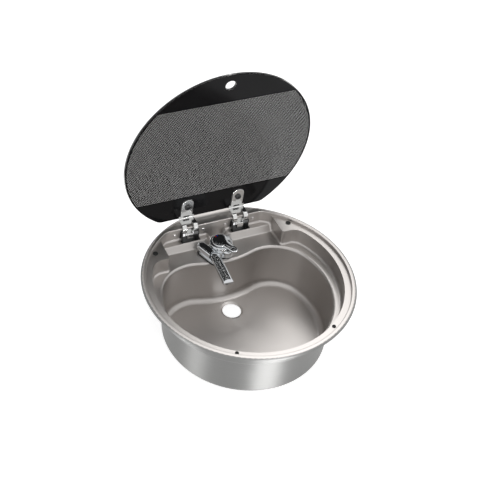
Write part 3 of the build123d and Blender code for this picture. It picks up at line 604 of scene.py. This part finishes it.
# %% Thread on the shank and ribs on the aerator
DECK_TOP = 105.0  # mm over the floor
SHANK_TOP = Vector((-3.0, 127.0, DECK_TOP - 12.9)) * MM  # first free turn under the nut
AERATOR_MIDDLE = Vector((-30.46, 36.90, 110.2)) * MM

thread_turns = thread_tree(chrome)
grip_ribs = rib_tree(black_abs)
grow("shank_thread", thread_turns, {"Top": SHANK_TOP}, "sink", True)
grow("aerator_ribs", grip_ribs, {"Middle": AERATOR_MIDDLE}, "spout_arm", False)

# %% [markdown]
# ## Studio
# The sink stands on a plain white floor that has no horizon. The floor and the world look
# white to the camera, to mirrors and through glass, and light the sink from all round at a
# moderate level. Two low strips draw the upright bands on the brushed outer wall and stay
# hidden from the inside by the rim. A large soft lamp above the back brightens the floor of
# the basin.

# %% White floor
PAPER_LIFT = 0.62  # added to the paper's own brightness where it is seen
WHITE = (1.0, 1.0, 1.0, 1.0)
FLOOR_SIZE = 14.0
FLOOR_DROP = 0.5 * MM  # keeps the floor clear of the bowl's underside


def seen_ray(tree, rays):
    """1 for rays of the camera, of mirrors and through glass, otherwise 0."""
    seen = add_node(
        tree,
        "ShaderNodeMath",
        {0: rays.outputs["Is Camera Ray"], 1: rays.outputs["Is Transmission Ray"]},
        operation="MAXIMUM",
    )
    seen = add_node(
        tree,
        "ShaderNodeMath",
        {0: seen.outputs[0], 1: rays.outputs["Is Glossy Ray"]},
        operation="MAXIMUM",
    )
    return seen.outputs[0]


def white_ground():
    """Matt white paper that also looks white to the camera, in mirrors and through glass."""
    mat, tree, out = new_material("White studio paper")
    paper = add_node(tree, "ShaderNodeBsdfDiffuse", {"Color": linear("#F4F4F4")})
    rays = add_node(tree, "ShaderNodeLightPath")
    seen = seen_ray(tree, rays)
    lift = add_node(tree, "ShaderNodeMath", {0: seen, 1: PAPER_LIFT}, operation="MULTIPLY")
    glow = add_node(tree, "ShaderNodeEmission", {"Color": WHITE, "Strength": lift.outputs[0]})
    both = add_node(tree, "ShaderNodeAddShader", {0: paper.outputs[0], 1: glow.outputs[0]})
    tree.links.new(both.outputs[0], out.inputs["Surface"])
    return mat


bpy.ops.mesh.primitive_plane_add(size=FLOOR_SIZE, location=(0, 0, -FLOOR_DROP))
floor = bpy.context.object
floor.name = "Floor"
floor.data.materials.append(white_ground())
print("floor", round(floor.dimensions.x, 2), "m wide")

# %% [markdown]
# The world works in the same way: rays that are seen find white, and all others find the
# moderate level that lights the sink.

# %% World
WORLD_LEVEL = 0.5  # light that the world gives

world = bpy.data.worlds.new("Studio")
bpy.context.scene.world = world
world.use_nodes = True
sky = world.node_tree
sky.nodes.clear()
rays = add_node(sky, "ShaderNodeLightPath")
seen = seen_ray(sky, rays)
level = add_node(sky, "ShaderNodeMapRange", {"Value": seen, "To Min": WORLD_LEVEL, "To Max": 1.0})
backing = add_node(
    sky, "ShaderNodeBackground", {"Color": WHITE, "Strength": level.outputs["Result"]}
)
sky_out = add_node(sky, "ShaderNodeOutputWorld")
sky.links.new(backing.outputs[0], sky_out.inputs["Surface"])
print("world ready")


# %% [markdown]
# A lamp here is a soft panel, set by its place, what it looks at, its width and height in
# metres and its power in watts. A wider panel gives a softer shadow and draws a broader band
# on the brushed wall.

# %% Lamps
def soft_lamp(name, place, target, size, power):
    """A rectangular panel of light that looks at a target."""
    data = bpy.data.lights.new(name, "AREA")
    data.shape = "RECTANGLE"
    data.size, data.size_y = size
    data.energy = power
    lamp = bpy.data.objects.new(name, data)
    bpy.context.scene.collection.objects.link(lamp)
    way = Vector(target) - Vector(place)
    turn = way.to_track_quat("-Z", "Y").to_matrix().to_4x4()
    lamp.matrix_world = Matrix.Translation(Vector(place)) @ turn
    return lamp


lamps = [
    soft_lamp("Low strip right", (0.08, -2.2, 0.16), (0, 0, 0.08), (1.1, 0.3), 50.0),
    soft_lamp("Low strip left", (-2.15, -0.46, 0.16), (0, 0, 0.08), (0.8, 0.3), 16.0),
    soft_lamp("High soft key", (0.9, 0.9, 2.4), (0, 0, 0.0), (1.6, 1.6), 17.0),
]
print("lamps", [lamp.name for lamp in lamps])

# %% [markdown]
# ## Camera
# The camera's place, turn and lens were worked out from the photograph's own perspective, so
# the render lies over the photograph. Its turn is written as three directions: the picture's
# right and up, and the way back from the sink to the lens.

# %% Camera
SENSOR_MM = 36.0
LENS_MM = 81.54
CAMERA_PLACE = (-0.76887, -1.29590, 1.61178)
RIGHT = Vector((0.90644, -0.41032, 0.10001))
UP = Vector((0.21206, 0.64697, 0.73243))
BACK = Vector((-0.36523, -0.64270, 0.67345))

camera_data = bpy.data.cameras.new("Camera")
camera_data.sensor_fit = "HORIZONTAL"
camera_data.sensor_width = SENSOR_MM
camera_data.lens = LENS_MM
camera_data.clip_start = 0.05
camera_data.clip_end = 50.0
camera = bpy.data.objects.new("Camera", camera_data)
bpy.context.scene.collection.objects.link(camera)
turn = Matrix((RIGHT, UP, BACK)).transposed().to_4x4()
camera.matrix_world = Matrix.Translation(CAMERA_PLACE) @ turn
bpy.context.scene.camera = camera
bpy.context.scene.view_settings.view_transform = "Standard"
print("camera", [round(v, 3) for v in camera.location])
